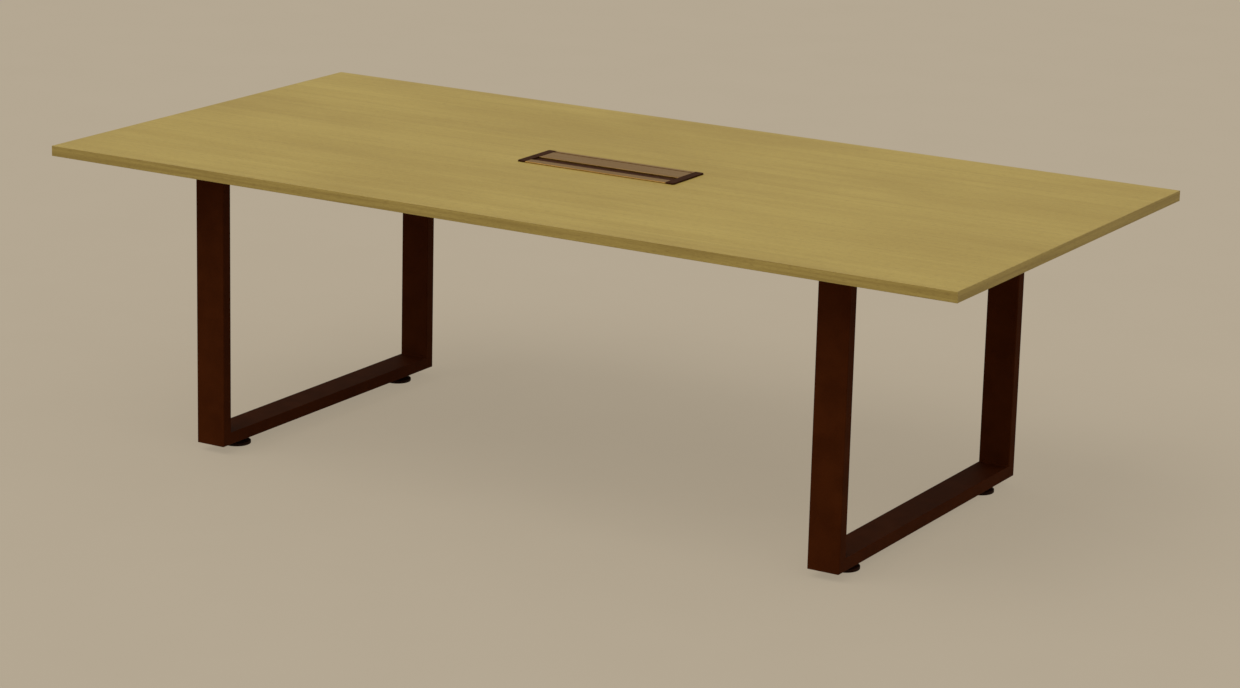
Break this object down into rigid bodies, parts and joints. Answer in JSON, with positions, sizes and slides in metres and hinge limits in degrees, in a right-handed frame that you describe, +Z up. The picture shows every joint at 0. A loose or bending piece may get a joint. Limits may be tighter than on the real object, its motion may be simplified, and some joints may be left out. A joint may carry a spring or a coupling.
{
  "type": "conference table",
  "caption": "Rectangular conference table: laminated top on welded flat-tube loop frames with levelling feet, and a flip-lid cable box above a cable tray.",
  "frame": {"origin": "on the floor under the middle of the tabletop", "axes": "+X along the tabletop's length, +Y to the rear, the side of the lid's hinge, +Z up"},
  "size_m": [2.4, 1.2, 0.744],
  "materials": {
    "laminated_board": "matt wood-grain laminate on particle board",
    "edge_strip": "matt wood-grain plastic edging",
    "brown_powder_coat": "satin dark brown powder coat on steel tube",
    "tray_powder_coat": "satin dark brown powder coat on folded steel",
    "foot_plastic": "moulded nylon, near black",
    "zinc_plated_steel": "bright zinc plating",
    "anodised_extrusion": "satin champagne anodising on extruded aluminium",
    "brush_nylon": "dark nylon bristles",
    "cap_plastic": "fine-grained dark brown moulding",
    "rest_rubber": "black rubber"
  },
  "bodies": {
    "table": {"tabletop_board": "laminated_board", "edge_band_front": "edge_strip", "edge_band_rear": "edge_strip", "edge_band_left": "edge_strip", "edge_band_right": "edge_strip", "left_front_upright": "brown_powder_coat", "left_rear_upright": "brown_powder_coat", "left_bottom_rail": "brown_powder_coat", "left_top_rail": "brown_powder_coat", "right_front_upright": "brown_powder_coat", "right_rear_upright": "brown_powder_coat", "right_bottom_rail": "brown_powder_coat", "right_top_rail": "brown_powder_coat", "front_crossbeam": "brown_powder_coat", "rear_crossbeam": "brown_powder_coat", "front_beam_left_plate": "brown_powder_coat", "front_beam_right_plate": "brown_powder_coat", "rear_beam_left_plate": "brown_powder_coat", "rear_beam_right_plate": "brown_powder_coat", "cable_tray": "tray_powder_coat", "foot_weld_nuts": "zinc_plated_steel", "beam_bolts": "zinc_plated_steel", "beam_weld_nuts": "zinc_plated_steel", "tabletop_bolts": "zinc_plated_steel", "tabletop_inserts": "zinc_plated_steel", "tray_screws": "zinc_plated_steel", "end_cap_screws": "zinc_plated_steel", "box_board_screws": "zinc_plated_steel", "cable_box_front_edge": "anodised_extrusion", "cable_box_rear_edge": "anodised_extrusion", "brush_carrier": "anodised_extrusion", "brush_bristles": "brush_nylon", "cable_box_left_cap": "cap_plastic", "cable_box_right_cap": "cap_plastic", "lid_rests": "rest_rubber"},
    "lid": {"cable_box_lid": "anodised_extrusion", "lid_hinge_pins": "zinc_plated_steel"},
    "front_left_pad": {"front_left_foot_pad": "foot_plastic"},
    "front_left_stem": {"front_left_foot_stem": "zinc_plated_steel"},
    "front_right_pad": {"front_right_foot_pad": "foot_plastic"},
    "front_right_stem": {"front_right_foot_stem": "zinc_plated_steel"},
    "rear_left_pad": {"rear_left_foot_pad": "foot_plastic"},
    "rear_left_stem": {"rear_left_foot_stem": "zinc_plated_steel"},
    "rear_right_pad": {"rear_right_foot_pad": "foot_plastic"},
    "rear_right_stem": {"rear_right_foot_stem": "zinc_plated_steel"}
  },
  "joints": [
    {"name": "lid_hinge", "type": "hinge", "parent": "table", "child": "lid", "pos_m": [0, 0.054, 0.7395], "axis": [-1, 0, 0], "range_deg": [0, 105]},
    {"name": "front_left_foot_height", "type": "slide", "parent": "table", "child": "front_left_pad", "axis": [0, 0, -1], "range_m": [-0.002, 0.012]},
    {"name": "front_left_stem_turn", "type": "hinge", "parent": "front_left_pad", "child": "front_left_stem", "pos_m": [-0.84, -0.35, 0.02], "axis": [0, 0, -1], "range_deg": [-480, 2880]},
    {"name": "front_right_foot_height", "type": "slide", "parent": "table", "child": "front_right_pad", "axis": [0, 0, -1], "range_m": [-0.002, 0.012]},
    {"name": "front_right_stem_turn", "type": "hinge", "parent": "front_right_pad", "child": "front_right_stem", "pos_m": [0.84, -0.35, 0.02], "axis": [0, 0, -1], "range_deg": [-480, 2880]},
    {"name": "rear_left_foot_height", "type": "slide", "parent": "table", "child": "rear_left_pad", "axis": [0, 0, -1], "range_m": [-0.002, 0.012]},
    {"name": "rear_left_stem_turn", "type": "hinge", "parent": "rear_left_pad", "child": "rear_left_stem", "pos_m": [-0.84, 0.35, 0.02], "axis": [0, 0, -1], "range_deg": [-480, 2880]},
    {"name": "rear_right_foot_height", "type": "slide", "parent": "table", "child": "rear_right_pad", "axis": [0, 0, -1], "range_m": [-0.002, 0.012]},
    {"name": "rear_right_stem_turn", "type": "hinge", "parent": "rear_right_pad", "child": "rear_right_stem", "pos_m": [0.84, 0.35, 0.02], "axis": [0, 0, -1], "range_deg": [-480, 2880]}
  ],
  "couplings": [
    {"joint": "front_left_stem_turn", "follows": "front_left_foot_height", "rad_per_m": 4188.8},
    {"joint": "front_right_stem_turn", "follows": "front_right_foot_height", "rad_per_m": 4188.8},
    {"joint": "rear_left_stem_turn", "follows": "rear_left_foot_height", "rad_per_m": 4188.8},
    {"joint": "rear_right_stem_turn", "follows": "rear_right_foot_height", "rad_per_m": 4188.8}
  ]
}
